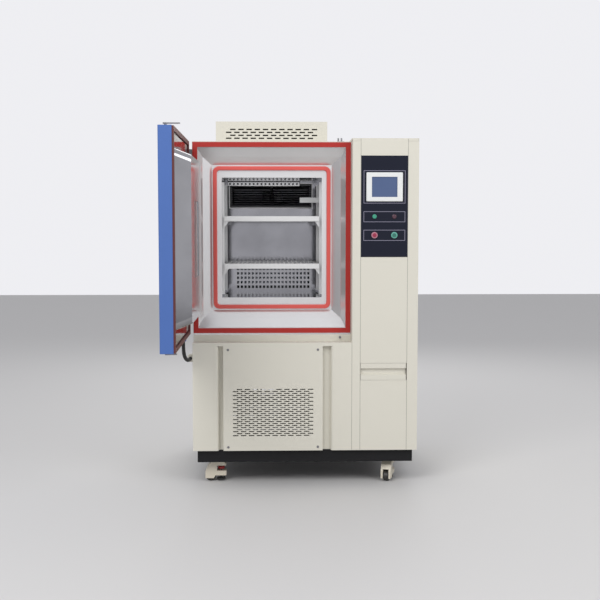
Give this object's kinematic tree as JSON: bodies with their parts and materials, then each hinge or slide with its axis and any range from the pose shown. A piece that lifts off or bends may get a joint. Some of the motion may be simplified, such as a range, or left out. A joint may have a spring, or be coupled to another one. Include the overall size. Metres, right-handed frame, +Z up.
{
  "type": "environmental test chamber",
  "caption": "Floor-standing climatic test chamber with a side-hinged door, shelved steel workspace, control column and levelling casters.",
  "frame": {"origin": "on the floor, in the middle of the box that holds the cabinet and the open door", "axes": "+Z up, the door opening faces -Y, the control column is at +X"},
  "size_m": [1.1866, 1.685, 1.82],
  "materials": {
    "cream_paint": "satin powder coat",
    "blue_paint": "satin powder coat",
    "black_paint": "satin",
    "polished_steel": "mirror polish",
    "shelf_steel": "satin",
    "hardware_steel": "satin",
    "louvre_black": "satin",
    "red_silicone": "satin",
    "dark_red_rubber": "satin",
    "navy_panel": "gloss film",
    "white_plastic": "satin",
    "screen_glass": "gloss",
    "lamp_lens": "gloss",
    "bezel_ring": "gloss",
    "button_red": "gloss",
    "button_green": "gloss",
    "foam": "foam",
    "fan_metal": "satin",
    "glass": "clear",
    "hose_black": "satin",
    "ivory_cast": "satin",
    "wheel_nylon": "satin",
    "foot_rubber": "satin"
  },
  "bodies": {
    "root": {"side_panels": "cream_paint", "rear_panel": "cream_paint", "top_panel": "cream_paint", "lower_front_frame": "cream_paint", "condenser_grille": "cream_paint", "column_frame": "cream_paint", "column_panels": "cream_paint", "motor_cover": "cream_paint", "base_frame": "black_paint", "compressor": "black_paint", "circulation_motor": "black_paint", "condenser_shroud": "black_paint", "inner_liner": "polished_steel", "throat_frame": "polished_steel", "duct_plate": "polished_steel", "return_air_grille": "polished_steel", "shelf_supports": "shelf_steel", "cabinet_hinge_leaves": "hardware_steel", "latch_keepers": "hardware_steel", "air_outlet_louvre": "louvre_black", "outer_seal": "red_silicone", "inner_seal": "red_silicone", "control_fascia": "navy_panel", "touchscreen_bezel": "white_plastic", "wet_bulb_trough": "white_plastic", "water_tank": "white_plastic", "touchscreen_panel": "screen_glass", "indicator_lamps": "lamp_lens", "button_bezels": "bezel_ring", "insulation": "foam", "evaporator_coil": "fan_metal", "condenser_coil": "fan_metal", "electrical_plate": "fan_metal", "door_conduit": "hose_black"},
    "door": {"door_shell": "blue_paint", "door_plug": "polished_steel", "door_seal": "dark_red_rubber", "window_glass": "glass", "door_hinge_leaves": "hardware_steel"},
    "latch": {"latch_rod": "hardware_steel", "door_handle": "hardware_steel"},
    "stop_button": {"stop_button": "button_red"},
    "start_button": {"start_button": "button_green"},
    "upper_shelf": {"upper_shelf": "shelf_steel"},
    "lower_shelf": {"lower_shelf": "shelf_steel"},
    "circulation_fan": {"circulation_fan": "fan_metal"},
    "condenser_fan": {"condenser_fan": "fan_metal"},
    "water_drawer": {"water_drawer": "cream_paint"},
    "caster_front_left": {"caster_housing_front_left": "ivory_cast"},
    "wheel_front_left": {"caster_wheel_front_left": "wheel_nylon"},
    "foot_front_left": {"levelling_foot_front_left": "foot_rubber"},
    "caster_front_right": {"caster_housing_front_right": "ivory_cast"},
    "wheel_front_right": {"caster_wheel_front_right": "wheel_nylon"},
    "foot_front_right": {"levelling_foot_front_right": "foot_rubber"},
    "caster_rear_left": {"caster_housing_rear_left": "ivory_cast"},
    "wheel_rear_left": {"caster_wheel_rear_left": "wheel_nylon"},
    "foot_rear_left": {"levelling_foot_rear_left": "foot_rubber"},
    "caster_rear_right": {"caster_housing_rear_right": "ivory_cast"},
    "wheel_rear_right": {"caster_wheel_rear_right": "wheel_nylon"},
    "foot_rear_right": {"levelling_foot_rear_right": "foot_rubber"}
  },
  "joints": [
    {"name": "door_swing", "type": "hinge", "parent": "root", "child": "door", "pos_m": [-0.53865, -0.0375, 1.225], "axis": [0, 0, -1], "range_deg": [-90, 25], "deforming": ["door_conduit"]},
    {"name": "latch_turn", "type": "hinge", "parent": "door", "child": "latch", "pos_m": [-0.56435, -0.8025, 1.225], "axis": [0, 0, 1], "range_deg": [0, 18]},
    {"name": "stop_press", "type": "slide", "parent": "root", "child": "stop_button", "axis": [0, 1, 0], "range_m": [0, 0.003], "stiffness_N_per_m": 300},
    {"name": "start_press", "type": "slide", "parent": "root", "child": "start_button", "axis": [0, 1, 0], "range_m": [0, 0.003], "stiffness_N_per_m": 300},
    {"name": "upper_shelf_slide", "type": "slide", "parent": "root", "child": "upper_shelf", "axis": [0, -1, 0], "range_m": [0, 0.35]},
    {"name": "lower_shelf_slide", "type": "slide", "parent": "root", "child": "lower_shelf", "axis": [0, -1, 0], "range_m": [0, 0.35]},
    {"name": "circulation_fan_spin", "type": "hinge", "parent": "root", "child": "circulation_fan", "pos_m": [-0.12515, 0.6165, 1.445], "axis": [0, 0, 1], "continuous": true},
    {"name": "condenser_fan_spin", "type": "hinge", "parent": "root", "child": "condenser_fan", "pos_m": [-0.12115, 0.0965, 0.349], "axis": [0, 1, 0], "continuous": true},
    {"name": "water_drawer_slide", "type": "slide", "parent": "root", "child": "water_drawer", "axis": [0, -1, 0], "range_m": [0, 0.08]},
    {"name": "caster_front_left_swivel", "type": "hinge", "parent": "root", "child": "caster_front_left", "pos_m": [-0.40065, 0.0225, 0.104], "axis": [0, 0, 1], "continuous": true},
    {"name": "wheel_front_left_roll", "type": "hinge", "parent": "caster_front_left", "child": "wheel_front_left", "pos_m": [-0.43665, 0.0225, 0.026], "axis": [0, -1, 0], "continuous": true},
    {"name": "foot_front_left_level", "type": "slide", "parent": "caster_front_left", "child": "foot_front_left", "axis": [0, 0, -1], "range_m": [0, 0.006]},
    {"name": "caster_front_right_swivel", "type": "hinge", "parent": "root", "child": "caster_front_right", "pos_m": [0.46335, 0.0225, 0.104], "axis": [0, 0, 1], "continuous": true},
    {"name": "wheel_front_right_roll", "type": "hinge", "parent": "caster_front_right", "child": "wheel_front_right", "pos_m": [0.45222, -0.01174, 0.026], "axis": [0.9511, -0.309, 0], "continuous": true},
    {"name": "foot_front_right_level", "type": "slide", "parent": "caster_front_right", "child": "foot_front_right", "axis": [0, 0, -1], "range_m": [0, 0.006]},
    {"name": "caster_rear_left_swivel", "type": "hinge", "parent": "root", "child": "caster_rear_left", "pos_m": [-0.40065, 0.7325, 0.104], "axis": [0, 0, 1], "continuous": true},
    {"name": "wheel_rear_left_roll", "type": "hinge", "parent": "caster_rear_left", "child": "wheel_rear_left", "pos_m": [-0.43448, 0.74481, 0.026], "axis": [-0.342, -0.9397, 0], "continuous": true},
    {"name": "foot_rear_left_level", "type": "slide", "parent": "caster_rear_left", "child": "foot_rear_left", "axis": [0, 0, -1], "range_m": [0, 0.006]},
    {"name": "caster_rear_right_swivel", "type": "hinge", "parent": "root", "child": "caster_rear_right", "pos_m": [0.46335, 0.7325, 0.104], "axis": [0, 0, 1], "continuous": true},
    {"name": "wheel_rear_right_roll", "type": "hinge", "parent": "caster_rear_right", "child": "wheel_rear_right", "pos_m": [0.49284, 0.75315, 0.026], "axis": [-0.5736, 0.8192, 0], "continuous": true},
    {"name": "foot_rear_right_level", "type": "slide", "parent": "caster_rear_right", "child": "foot_rear_right", "axis": [0, 0, -1], "range_m": [0, 0.006]}
  ]
}
